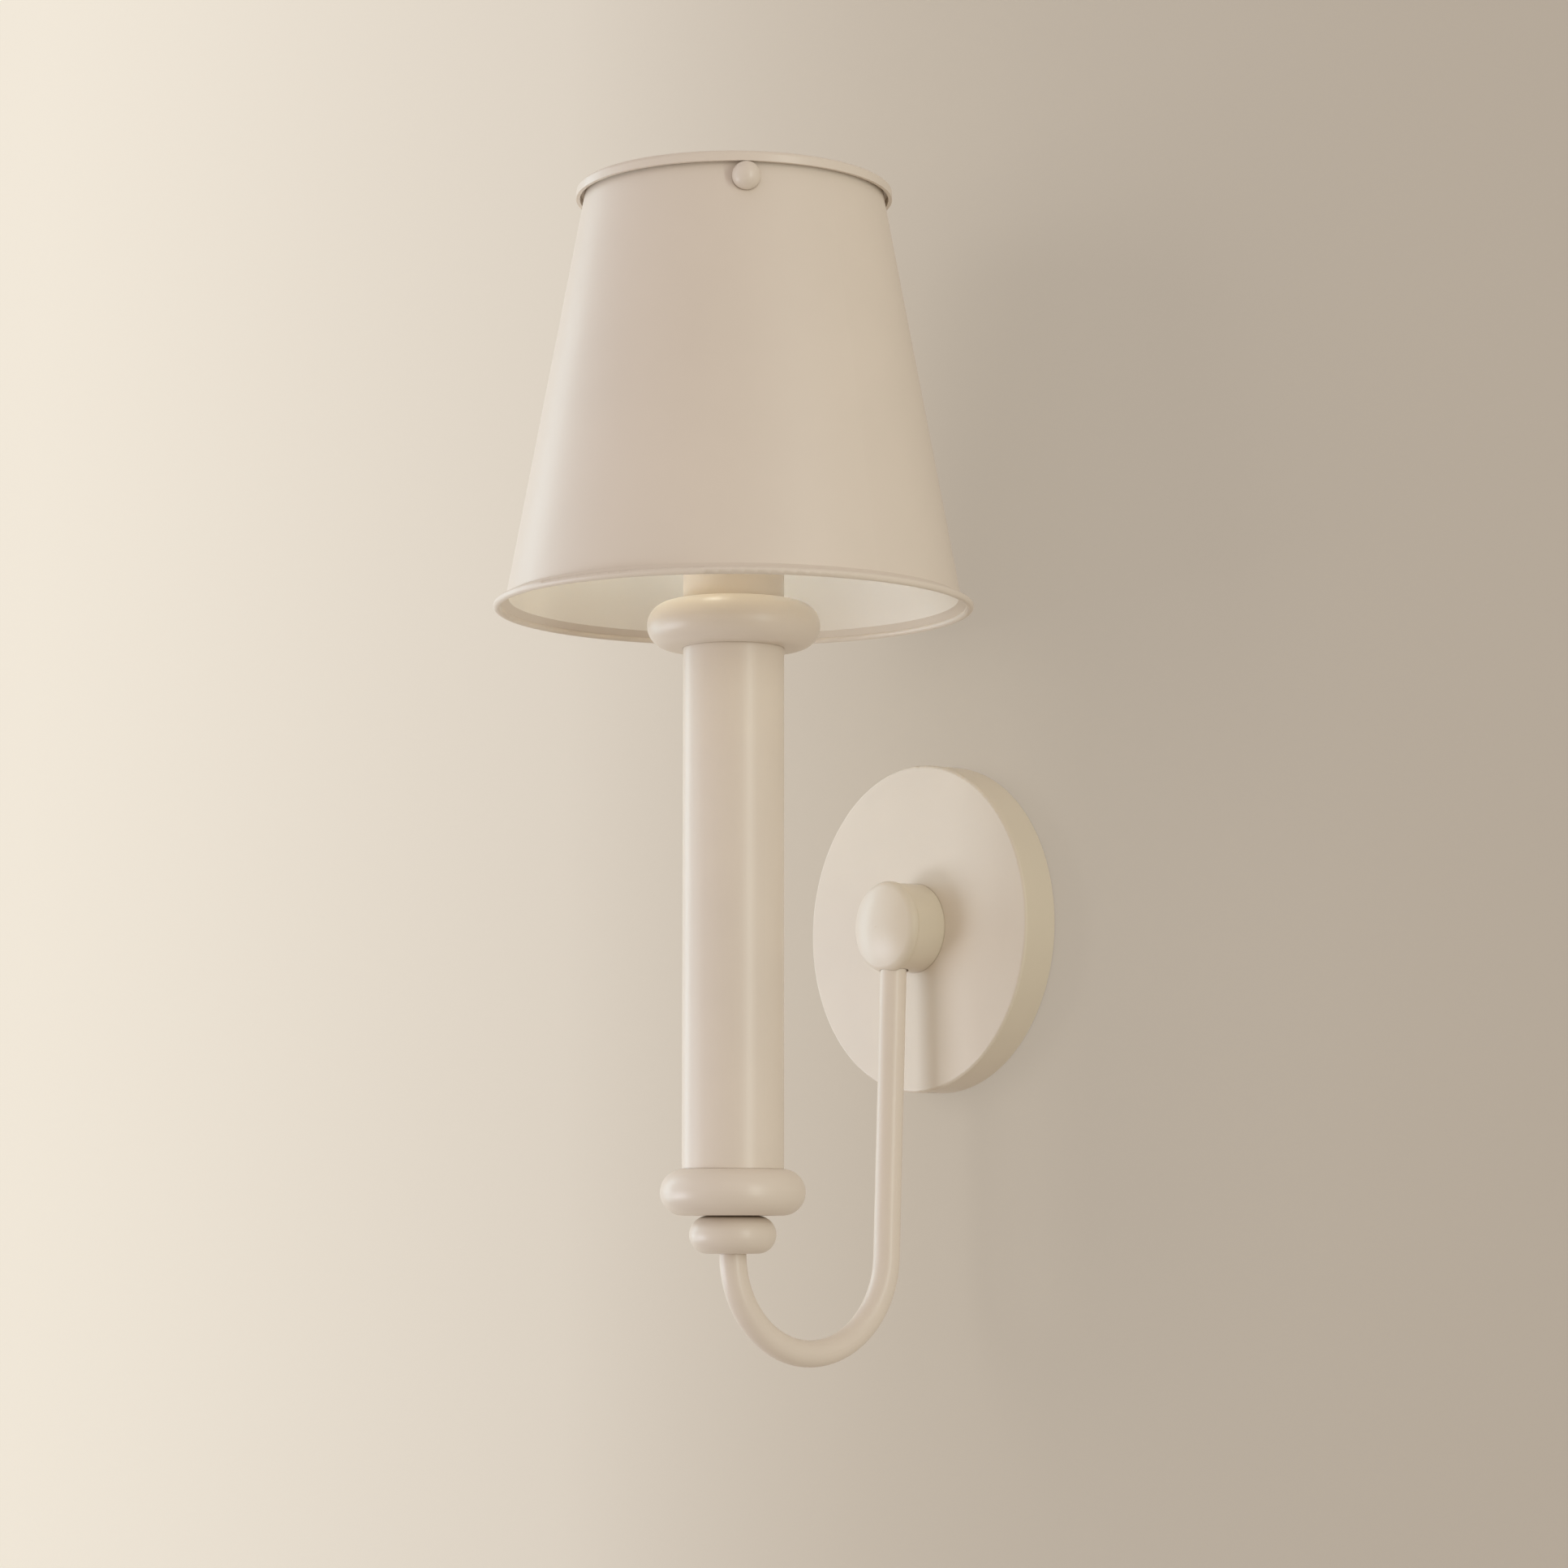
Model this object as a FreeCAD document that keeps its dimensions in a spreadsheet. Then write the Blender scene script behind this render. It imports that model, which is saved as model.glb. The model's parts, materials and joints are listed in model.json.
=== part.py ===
import FreeCAD, Part
import math
import operator
import os
from types import SimpleNamespace

import Sketcher

# A wall light: a round wall plate, a hub that stands out of it, a J-shaped arm, and a
# straight column that carries a lampholder and a conical painted metal shade.
# Frame: the wall is the plane y = 0, the light stands out of it towards -Y, +Z is up,
# and the origin is the centre of the plate's back. All sizes are in millimetres.

DRIVING_SIZES = {
    # wall plate
    "plate_radius": (60.0, "outer radius of the round wall plate"),
    "plate_depth": (13.8, "how far the plate stands off the wall"),
    "plate_wall": (1.5, "sheet thickness of the plate"),
    "plate_edge": (1.0, "rounding of the plate's front edge"),
    # crossbar behind the plate
    "bar_width": (20.0, "width of the crossbar"),
    "bar_sheet": (1.6, "sheet thickness of the crossbar"),
    "bar_ear": (10.0, "height of the bent ears, from the wall"),
    "bar_gap": (1.2, "space between the middle of an ear and the plate's rim"),
    "slot_spacing": (80.0, "distance between the centres of the two box slots"),
    "slot_length": (19.0, "end to end length of a box slot"),
    "slot_radius": (2.3, "half the width of a box slot"),
    "bar_hole": (8.5, "radius of the wire hole in the crossbar"),
    "earth_height": (22.0, "height of the earth screw above the hub axis"),
    "earth_thread": (2.0, "radius of the earth screw"),
    "earth_head": (3.4, "radius of the earth screw's head"),
    "rim_screw_radius": (2.0, "radius of the two grub screws in the plate's rim"),
    "rim_screw_length": (5.0, "length of a grub screw"),
    "rim_screw_key": (1.0, "inner radius of a grub screw's hexagon socket"),
    "rim_screw_place": (6.0, "distance of the grub screws from the wall"),
    # hub
    "hub_radius": (16.2, "radius of the hub collar"),
    "hub_length": (12.2, "length of the hub collar, from the plate's face"),
    "cap_radius": (16.7, "largest radius of the domed cap"),
    "cap_side": (1.0, "distance of the cap's largest circle from its back"),
    "cap_dome": (6.2, "height of the dome over the cap's largest circle"),
    "cap_rim": (3.4, "radius of the dome's profile at its edge"),
    # threaded tubes that hold the pieces together
    "thread_radius": (5.0, "outer radius of the threaded tubes"),
    "thread_bore": (3.5, "bore of the threaded tubes"),
    "nut_flat": (7.0, "half the width of a nut across its flats"),
    "nut_height": (4.0, "height of a nut"),
    "washer_radius": (9.5, "outer radius of a washer"),
    "washer_height": (1.0, "thickness of a washer"),
    "fit": (0.05, "radial clearance of pieces that screw or slide together"),
    # arm
    "arm_offset": (24.3, "distance of the arm's socket from the wall"),
    "arm_radius": (4.8, "outer radius of the arm tube"),
    "arm_bore": (3.4, "bore of the arm tube"),
    "arm_slack": (0.45, "radial space round the arm in its socket"),
    "arm_top": (8.0, "distance of the arm's end below the hub axis"),
    "arm_seat": (0.5, "space over the arm's end in its socket"),
    "bend_radius": (35.4, "radius of the arm's bend, at its centre line"),
    "arm_insert": (5.0, "how deep the arm goes into the boss"),
    # column
    "axis_offset": (99.0, "distance of the column's axis from the wall"),
    "boss_base": (118.3, "distance of the boss's underside below the hub axis"),
    "boss_radius": (15.3, "radius of the small round-edged boss"),
    "boss_height": (13.3, "height of the boss"),
    "disc_radius": (25.6, "radius of the round-edged disc under the column"),
    "disc_height": (16.3, "height of the disc"),
    "column_radius": (18.0, "outer radius of the column tube"),
    "column_wall": (1.5, "wall thickness of the column tube"),
    "column_length": (184.6, "length of the column tube"),
    "spigot_height": (3.0, "height of the spigots that centre the column"),
    "flange_radius": (30.9, "radius of the round-edged flange over the column"),
    "flange_height": (16.3, "height of the flange"),
    "sleeve_wall": (1.2, "wall thickness of the sleeve round the lampholder"),
    "sleeve_length": (38.0, "length of the sleeve"),
    # lampholder and bulb
    "holder_lift": (1.3, "space between the top nut and the lampholder"),
    "holder_radius": (13.0, "radius of the lampholder's body"),
    "holder_shoulder": (2.0, "thickness of the lampholder's shoulder"),
    "skirt_radius": (14.05, "radius of the lampholder's threaded skirt"),
    "skirt_height": (16.5, "height of the threaded skirt over the shoulder"),
    "holder_bore": (8.5, "bore of the lampholder"),
    "holder_floor": (14.0, "height of the lampholder's floor over its base"),
    "shell_radius": (8.1, "outer radius of the lampholder's screw shell"),
    "shell_wall": (0.6, "wall thickness of the screw shell"),
    "shell_length": (26.0, "length of the screw shell"),
    "contact_radius": (2.6, "radius of the centre contact"),
    "contact_height": (5.0, "height of the centre contact"),
    "bulb_gap": (0.3, "space under the bulb at rest"),
    "bulb_cap_radius": (6.95, "outer radius of the bulb's screw cap"),
    "bulb_cap_length": (27.5, "length of the bulb's screw cap"),
    "bulb_neck": (7.2, "radius of the bulb's neck"),
    "bulb_radius": (12.5, "radius of the tubular bulb"),
    "bulb_length": (86.0, "overall length of the bulb"),
    # shade
    "shade_seat": (0.3, "space between the shade's fitter ring and the shoulder"),
    "shade_drop": (43.3, "height of the fitter ring over the shade's lower edge"),
    "shade_height": (153.4, "height of the shade with its top ring"),
    "shade_mouth": (81.9, "radius that the shade's wall would have at its lower edge"),
    "shade_top": (53.45, "radius that the shade's wall would have at its top"),
    "shade_sheet": (0.9, "sheet thickness of the shade"),
    "hem_height": (4.4, "height at which the wall turns out into the rolled edge"),
    "bead_radius": (1.35, "radius of the rolled edge's section"),
    "hem_reach": (3.7, "how far the rolled edge stands out past the wall's lower edge"),
    # top ring
    "ring_reach": (3.45, "how far the top ring stands out past the wall's top"),
    "ring_sheet": (1.3, "thickness of the top ring"),
    "ring_lip": (3.75, "height of the top ring's outer lip"),
    "ring_skirt": (13.0, "height of the top ring's inner skirt"),
    "ring_space": (0.3, "space between the shade's top edge and the ring"),
    "skirt_space": (0.3, "space between the shade's wall and the ring's skirt"),
    # fitter that carries the shade on the lampholder
    "fitter_bore": (14.4, "bore of the fitter ring and of its nut"),
    "fitter_radius": (20.0, "outer radius of the fitter ring"),
    "fitter_sheet": (1.5, "thickness of the fitter ring and its legs"),
    "leg_width": (7.0, "width of a fitter leg"),
    "leg_tab": (11.0, "height of the tab at the top of a leg"),
    "ring_nut_radius": (18.5, "outer radius of the shade's ring nut"),
    "ring_nut_height": (7.0, "height of the shade's ring nut"),
    "ring_nut_gap": (0.1, "space between the ring nut and the fitter ring"),
    # ball headed screws
    "screw_count": (3.0, "number of ball headed screws"),
    "screw_drop": (9.3, "distance of the ball screws below the shade's top"),
    "screw_azimuth": (56.0, "direction of the first ball screw, from -Y towards +X"),
    "ball_radius": (5.0, "radius of a screw's ball head"),
    "ball_stand": (1.5, "distance of a ball's centre from the shade's wall"),
    "ball_gap": (0.1, "space between a ball head and the shade's wall"),
    "screw_radius": (1.6, "radius of a ball screw's shank"),
    "screw_length": (6.5, "length of a ball screw's shank"),
    "screw_slack": (0.35, "radial space round a ball screw"),
    # wires
    "wire_radius": (0.9, "radius of an insulated wire"),
    "wire_space": (1.25, "distance of a wire from the middle of its tube"),
    "wire_turn": (4.0, "bend radius of a wire in the hub"),
    "wire_clearance": (0.6, "space between the wires and the end of the hub's tube"),
    "wire_reach": (18.0, "distance of the connectors from the hub axis"),
    "connector_radius": (4.0, "radius of a twist-on connector at its mouth"),
    "connector_tip": (2.4, "radius of a twist-on connector at its tip"),
    "connector_length": (12.0, "length of a twist-on connector"),
}

OPERATIONS = {
    "+": operator.add,
    "-": operator.sub,
    "*": operator.mul,
    "/": operator.truediv,
}


class Size:
    """A number together with the sheet expression that it comes from."""

    def __init__(self, value, text):
        self.value = value
        self.text = text

    def __add__(self, other):
        return combine(self, "+", other)

    def __radd__(self, other):
        return combine(other, "+", self)

    def __sub__(self, other):
        return combine(self, "-", other)

    def __rsub__(self, other):
        return combine(other, "-", self)

    def __mul__(self, other):
        return combine(self, "*", other)

    def __rmul__(self, other):
        return combine(other, "*", self)

    def __truediv__(self, other):
        return combine(self, "/", other)


def as_size(number):
    """The number as a Size; a plain number stands for itself."""
    if isinstance(number, Size):
        return number
    return Size(float(number), f"{float(number):.6f}")


def combine(left, sign, right):
    """One step of arithmetic on the values and on their expressions."""
    first = as_size(left)
    second = as_size(right)
    value = OPERATIONS[sign](first.value, second.value)
    return Size(value, f"({first.text} {sign} {second.text})")


def root(size):
    """Square root of a Size."""
    return Size(math.sqrt(size.value), f"sqrt({size.text})")


doc = FreeCAD.newDocument("wall_light")
sheet = doc.addObject("Spreadsheet::Sheet", "Sizes")
for row, (name, (number, note)) in enumerate(DRIVING_SIZES.items(), start=1):
    sheet.set(f"A{row}", name)
    sheet.set(f"B{row}", str(number))
    sheet.set(f"C{row}", note)
    sheet.setAlias(f"B{row}", name)
doc.recompute()
S = SimpleNamespace(**{name: Size(float(sheet.get(name)), f"Sizes.{name}") for name in DRIVING_SIZES})

NODES = []


def bind(thing, name, size):
    """Ties one property of an object to the sheet."""
    thing.setExpression(name, as_size(size).text)


def node(thing, label):
    """Gives the object its label and lists it as a sub-part of the light."""
    thing.Label = label
    NODES.append(thing)
    return thing


def place(thing, x=0, y=0, z=0):
    """Moves an object to a place that is tied to the sheet."""
    bind(thing, "Placement.Base.x", x)
    bind(thing, "Placement.Base.y", y)
    bind(thing, "Placement.Base.z", z)


def face_out(thing):
    """Turns an object's own +Z to point out of the wall, along -Y."""
    thing.Placement = FreeCAD.Placement(FreeCAD.Vector(), FreeCAD.Rotation(FreeCAD.Vector(1, 0, 0), 90))


# ---------------------------------------------------------------- sketches


def origin_plane(body, role):
    """One of the body's own origin planes."""
    return next(item for item in body.Origin.OriginFeatures if item.Role == role)


def new_sketch(body, role, name):
    """A sketch on one of the body's origin planes."""
    sketch = body.newObject("Sketcher::SketchObject", name)
    sketch.AttachmentSupport = [(origin_plane(body, role), "")]
    sketch.MapMode = "FlatFace"
    return sketch


def fix_point(sketch, side, end, point):
    """Ties one end of a side to its two coordinates."""
    for axis_name, axis_line, number in (("DistanceX", -2, point[0]), ("DistanceY", -1, point[1])):
        if as_size(number).value == 0.0:
            sketch.addConstraint(Sketcher.Constraint("PointOnObject", side, end, axis_line))
        else:
            value = as_size(number).value
            index = sketch.addConstraint(Sketcher.Constraint(axis_name, -1, 1, side, end, value))
            bind(sketch, f"Constraints[{index}]", number)


def arc_between(start, end, radius):
    """An arc from start to end: its centre lies to the left where the radius is positive."""
    chord = end - start
    half = chord.Length / 2
    across = FreeCAD.Vector(-chord.y, chord.x, 0) / chord.Length
    depth = math.sqrt(max(radius * radius - half * half, 0.0))
    centre = (start + end) / 2 + across * math.copysign(depth, radius)
    circle = Part.Circle(centre, FreeCAD.Vector(0, 0, 1), abs(radius))
    first, last = (start, end) if radius > 0 else (end, start)
    angle_first = math.atan2(first.y - centre.y, first.x - centre.x)
    angle_last = math.atan2(last.y - centre.y, last.x - centre.x)
    if angle_last < angle_first:
        angle_last += 2 * math.pi
    return Part.ArcOfCircle(circle, angle_first, angle_last)


def draw_outline(sketch, outline):
    """A closed outline through points (x, y). A third number makes the side that ends at
    the point an arc of that radius, which turns left where the number is positive."""
    corners = [FreeCAD.Vector(as_size(point[0]).value, as_size(point[1]).value, 0) for point in outline]
    ends = []
    for number, point in enumerate(outline):
        start = corners[number - 1]
        end = corners[number]
        if len(point) == 3:
            radius = as_size(point[2]).value
            side = sketch.addGeometry(arc_between(start, end, radius))
            ends.append((1, 2) if radius > 0 else (2, 1))
            index = sketch.addConstraint(Sketcher.Constraint("Radius", side, abs(radius)))
            bind(sketch, f"Constraints[{index}]", point[2] if radius > 0 else 0 - point[2])
        else:
            sketch.addGeometry(Part.LineSegment(start, end))
            ends.append((1, 2))
    for side, point in enumerate(outline):
        after = (side + 1) % len(outline)
        joint = Sketcher.Constraint("Coincident", side, ends[side][1], after, ends[after][0])
        sketch.addConstraint(joint)
        fix_point(sketch, side, ends[side][1], point)


def draw_circle(sketch, x, y, radius):
    """A circle at (x, y)."""
    centre = FreeCAD.Vector(as_size(x).value, as_size(y).value, 0)
    circle = Part.Circle(centre, FreeCAD.Vector(0, 0, 1), as_size(radius).value)
    side = sketch.addGeometry(circle)
    index = sketch.addConstraint(Sketcher.Constraint("Radius", side, as_size(radius).value))
    bind(sketch, f"Constraints[{index}]", radius)
    fix_point(sketch, side, 3, (x, y))


# ---------------------------------------------------------------- features


def new_body(name):
    """An empty body."""
    return doc.addObject("PartDesign::Body", name)


def revolve(body, sketch, name="Revolution"):
    """Revolves a sketch on the XZ plane about the body's Z axis."""
    turn = body.newObject("PartDesign::Revolution", name)
    turn.Profile = sketch
    turn.ReferenceAxis = (sketch, ["V_Axis"])
    turn.Angle = 360
    return turn


def turned(name, *outlines):
    """A body turned about its own Z axis, from outlines of (radius, height) points."""
    body = new_body(name)
    for outline in outlines:
        sketch = new_sketch(body, "XZ_Plane", "Profile")
        draw_outline(sketch, outline)
        revolve(body, sketch)
    return body


def tube(inner, outer, bottom, top):
    """Outline of a plain tube's wall."""
    return [(inner, bottom), (outer, bottom), (outer, top), (inner, top)]


def cut_circle(body, role, x, y, radius, both_ways=False, reverse=False):
    """Cuts a round hole right through, from one of the body's origin planes."""
    sketch = new_sketch(body, role, "HoleSketch")
    draw_circle(sketch, x, y, radius)
    pocket = body.newObject("PartDesign::Pocket", "Hole")
    pocket.Profile = sketch
    pocket.Type = "ThroughAll"
    pocket.Midplane = both_ways
    pocket.Reversed = reverse
    return pocket


def pad(body, sketch, length):
    """Pads a sketch by a length from the sheet, along its plane's normal."""
    feature = body.newObject("PartDesign::Pad", "Pad")
    feature.Profile = sketch
    feature.Type = "Length"
    bind(feature, "Length", length)
    return feature


def cylinder(name, radius, height):
    """A plain cylinder along its own +Z."""
    solid = doc.addObject("Part::Cylinder", name)
    bind(solid, "Radius", radius)
    bind(solid, "Height", height)
    return solid


def cut(name, base, tool):
    """The base without the tool."""
    result = doc.addObject("Part::Cut", name)
    result.Base = base
    result.Tool = tool
    return result


def compound(name, members):
    """Separate solids kept as one group."""
    group = doc.addObject("Part::Compound", name)
    group.Links = members
    return group


def hexagon(name, half_width, height):
    """A hexagonal prism along its own +Z."""
    prism = doc.addObject("Part::Prism", name)
    prism.Polygon = 6
    bind(prism, "Circumradius", half_width / math.cos(math.pi / 6))
    bind(prism, "Height", height)
    return prism


# ---------------------------------------------------------------- wall plate and crossbar

bar_half = S.plate_radius - S.plate_wall - S.bar_gap
screw_hole = S.rim_screw_radius + S.fit


def wall_plate():
    """Round pan with a plain face, a hole for the threaded tube and two rim holes."""
    hole = S.thread_radius + S.fit
    inner = S.plate_radius - S.plate_wall
    back = S.plate_depth - S.plate_wall
    body = turned(
        "WallPlate",
        [
            (hole, back),
            (inner, back),
            (inner, 0),
            (S.plate_radius, 0),
            (S.plate_radius, S.plate_depth - S.plate_edge),
            (S.plate_radius - S.plate_edge, S.plate_depth, S.plate_edge),
            (hole, S.plate_depth),
        ],
    )
    cut_circle(body, "XZ_Plane", 0, S.rim_screw_place, screw_hole, both_ways=True)
    face_out(body)
    node(body, "wall_plate")


def slot_outline(x, y, length, radius):
    """A slot along Y whose ends are half circles."""
    run = length / 2 - radius
    return [
        (x - radius, y - run),
        (x, y - run - radius, radius),
        (x + radius, y - run, radius),
        (x + radius, y + run),
        (x, y + run + radius, radius),
        (x - radius, y + run, radius),
    ]


def crossbar():
    """Bent strip that screws to the wall box; the plate's rim screws hold on its ears."""
    body = new_body("Crossbar")
    side = new_sketch(body, "YZ_Plane", "SideView")
    length = bar_half * 2
    draw_outline(
        side,
        [
            (0, 0),
            (length, 0),
            (length, S.bar_ear),
            (length - S.bar_sheet, S.bar_ear),
            (length - S.bar_sheet, S.bar_sheet),
            (S.bar_sheet, S.bar_sheet),
            (S.bar_sheet, S.bar_ear),
            (0, S.bar_ear),
        ],
    )
    pad(body, side, S.bar_width)
    middle = S.bar_width / 2
    for direction in (-1, 1):
        slot = new_sketch(body, "XY_Plane", "Slot")
        draw_outline(slot, slot_outline(middle, bar_half + S.slot_spacing * (direction / 2), S.slot_length, S.slot_radius))
        pocket = body.newObject("PartDesign::Pocket", "SlotCut")
        pocket.Profile = slot
        pocket.Type = "ThroughAll"
        pocket.Reversed = True
    cut_circle(body, "XY_Plane", middle, bar_half, S.bar_hole, reverse=True)
    cut_circle(body, "XY_Plane", middle, bar_half + S.earth_height, S.earth_thread + S.fit, reverse=True)
    cut_circle(body, "XZ_Plane", middle, S.rim_screw_place, screw_hole, both_ways=True)
    face_out(body)
    place(body, x=0 - middle, z=0 - bar_half)
    node(body, "crossbar")


def rim_screws():
    """Two grub screws that pass the plate's rim into the crossbar's ears."""
    screws = []
    for direction in (-1, 1):
        shank = cylinder("GrubShank", S.rim_screw_radius, S.rim_screw_length)
        socket = hexagon("GrubSocket", S.rim_screw_key, S.rim_screw_length / 2)
        start = (S.plate_radius - S.fit * 2) * direction
        for solid in (shank, socket):
            solid.Placement.Rotation = FreeCAD.Rotation(FreeCAD.Vector(1, 0, 0), 90 + 90 * direction)
            place(solid, y=0 - S.rim_screw_place, z=start)
        screws.append(cut("GrubScrew", shank, socket))
    node(compound("RimScrews", screws), "rim_screws")


def earth_screw():
    """Pan-headed screw that clamps the earth wire's ring on the crossbar."""
    seat = S.bar_sheet + S.washer_height
    top = seat + 2.0
    body = turned(
        "EarthScrew",
        [
            (0, 0.1),
            (S.earth_thread, 0.1),
            (S.earth_thread, seat),
            (S.earth_head, seat),
            (S.earth_head, top - 0.8),
            (S.earth_head - 0.8, top, 0.8),
            (0, top),
        ],
    )
    slot = new_sketch(body, "XZ_Plane", "DriverSlot")
    draw_outline(slot, [(-0.4, top - 0.8), (0.4, top - 0.8), (0.4, top + 1.0), (-0.4, top + 1.0)])
    pocket = body.newObject("PartDesign::Pocket", "DriverCut")
    pocket.Profile = slot
    pocket.Type = "ThroughAll"
    pocket.Midplane = True
    face_out(body)
    place(body, z=S.earth_height)
    node(body, "earth_screw")


# ---------------------------------------------------------------- hub

hub_front = S.plate_depth + S.hub_length
socket_radius = S.arm_radius + S.arm_slack


def cut_arm_socket(body, distance):
    """Drills the arm's socket from below, and a narrower hole from it up to the bore."""
    cut_circle(body, "XZ_Plane", 0, distance, S.arm_bore, reverse=True)
    pocket = cut_circle(body, "XZ_Plane", 0, distance, socket_radius, reverse=True)
    sketch = pocket.Profile[0]
    bind(sketch, "AttachmentOffset.Base.z", S.arm_top - S.arm_seat)


def hub_collar():
    """Plain collar between the plate and the cap, drilled from below for the arm."""
    body = turned("HubCollar", tube(S.thread_radius + S.fit, S.hub_radius, 0, S.hub_length))
    cut_arm_socket(body, S.arm_offset - S.plate_depth)
    face_out(body)
    place(body, y=0 - S.plate_depth)
    node(body, "hub_collar")


def hub_cap():
    """Domed cap on the end of the hub, drilled from below for the arm."""
    reach = S.cap_radius - S.cap_rim
    dome_sum = reach * reach + S.cap_dome * S.cap_dome - S.cap_rim * S.cap_rim
    dome_radius = dome_sum / ((S.cap_dome - S.cap_rim) * 2)
    share = S.cap_rim / (dome_radius - S.cap_rim)
    side_step = S.cap_radius - S.hub_radius
    side_radius = (side_step * side_step + S.cap_side * S.cap_side) / (side_step * 2)
    body = turned(
        "HubCap",
        [
            (0, 0),
            (S.hub_radius, 0),
            (S.cap_radius, S.cap_side, side_radius),
            (reach + reach * share, S.cap_side + (dome_radius - S.cap_dome) * share, S.cap_rim),
            (0, S.cap_side + S.cap_dome, dome_radius),
        ],
    )
    cavity = new_sketch(body, "XY_Plane", "Cavity")
    draw_circle(cavity, 0, 0, S.thread_radius)
    pocket = body.newObject("PartDesign::Pocket", "CavityCut")
    pocket.Profile = cavity
    pocket.Type = "Length"
    pocket.Reversed = True
    bind(pocket, "Length", S.arm_offset - hub_front + S.thread_radius)
    cut_arm_socket(body, S.arm_offset - hub_front)
    face_out(body)
    place(body, y=0 - hub_front)
    node(body, "hub_cap")


washer_back = S.plate_depth - S.plate_wall - S.washer_height
hub_nut_back = washer_back - S.nut_height
hub_tube_back = hub_nut_back - 1.0
wire_plane = hub_tube_back - S.wire_clearance - S.wire_radius


def hub_fixings():
    """Threaded tube through plate and hub, with its washer and nut inside the plate."""
    hub_tube_length = S.plate_depth - hub_tube_back + 4.5
    tube_body = turned("HubTube", tube(S.thread_bore, S.thread_radius, 0, hub_tube_length))
    face_out(tube_body)
    place(tube_body, y=0 - hub_tube_back)
    node(tube_body, "hub_threaded_tube")

    washer = turned("HubWasher", tube(S.thread_radius + S.fit, S.washer_radius, 0, S.washer_height))
    face_out(washer)
    place(washer, y=0 - washer_back)
    node(washer, "hub_washer")

    nut = hex_nut("HubNut")
    for solid in (nut.Base, nut.Tool):
        face_out(solid)
        place(solid, y=0 - hub_nut_back)
    node(nut, "hub_nut")


def hex_nut(name):
    """A hexagon nut for the threaded tubes."""
    prism = hexagon(name + "Prism", S.nut_flat, S.nut_height)
    hole = cylinder(name + "Hole", S.thread_radius + S.fit, S.nut_height)
    return cut(name, prism, hole)


# ---------------------------------------------------------------- arm and column

boss_top = S.boss_height - S.boss_base
disc_top = boss_top + S.disc_height
column_top = disc_top + S.column_length
flange_top = column_top + S.flange_height
sleeve_top = flange_top + S.sleeve_length
arm_end = S.arm_insert - S.boss_base


def on_column(thing, height, label):
    """Places an object on the column's axis at a height and lists it."""
    place(thing, y=0 - S.axis_offset, z=height)
    return node(thing, label)


def arm():
    """J-shaped tube from the boss, round the bend and up to the hub. The bend's radius is
    a little less than half the distance of the two ends, so the wall side leans slightly."""
    body = new_body("Arm")
    section = new_sketch(body, "XY_Plane", "Section")
    draw_circle(section, 0, 0, S.arm_radius)
    draw_circle(section, 0, 0, S.arm_bore)
    path = new_sketch(body, "YZ_Plane", "Path")
    reach = S.axis_offset - S.arm_offset
    rise = 0 - S.arm_top - arm_end
    radius = S.bend_radius.value
    drop = S.arm_insert.value
    centre = FreeCAD.Vector(radius, -drop, 0)
    top = FreeCAD.Vector(reach.value, rise.value, 0)
    to_top = top - centre
    lean = math.atan2(to_top.y, to_top.x) - math.acos(radius / to_top.Length)
    touch = centre + FreeCAD.Vector(math.cos(lean), math.sin(lean), 0) * radius
    path.addGeometry(Part.LineSegment(FreeCAD.Vector(), FreeCAD.Vector(0, -drop, 0)))
    circle = Part.Circle(centre, FreeCAD.Vector(0, 0, 1), radius)
    path.addGeometry(Part.ArcOfCircle(circle, -math.pi, lean))
    path.addGeometry(Part.LineSegment(touch, top))
    path.addConstraint(Sketcher.Constraint("Coincident", 0, 1, -1, 1))
    path.addConstraint(Sketcher.Constraint("Vertical", 0))
    length = path.addConstraint(Sketcher.Constraint("Distance", 0, drop))
    bind(path, f"Constraints[{length}]", S.arm_insert)
    path.addConstraint(Sketcher.Constraint("Tangent", 0, 2, 1, 1))
    path.addConstraint(Sketcher.Constraint("Tangent", 1, 2, 2, 1))
    bend = path.addConstraint(Sketcher.Constraint("Radius", 1, radius))
    bind(path, f"Constraints[{bend}]", S.bend_radius)
    fix_point(path, 2, 2, (reach, rise))
    pipe = body.newObject("PartDesign::AdditivePipe", "Pipe")
    pipe.Profile = section
    pipe.Spine = path
    on_column(body, arm_end, "arm")


def round_disc(name, radius, height, hole, recess, spigot):
    """A disc with a full-round edge: its hole is wider below, and a spigot stands on it."""
    edge = height / 2
    outline = [
        (recess[0], 0),
        (radius - edge, 0),
        (radius, edge, edge),
        (radius - edge, height, edge),
    ]
    if spigot:
        outline += [(spigot, height), (spigot, height + S.spigot_height), (hole, height + S.spigot_height)]
    else:
        outline += [(hole, height)]
    outline += [(hole, recess[1]), (recess[0], recess[1])]
    return turned(name, outline)


rod_hole = S.thread_radius + S.fit
column_bore = S.column_radius - S.column_wall


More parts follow.
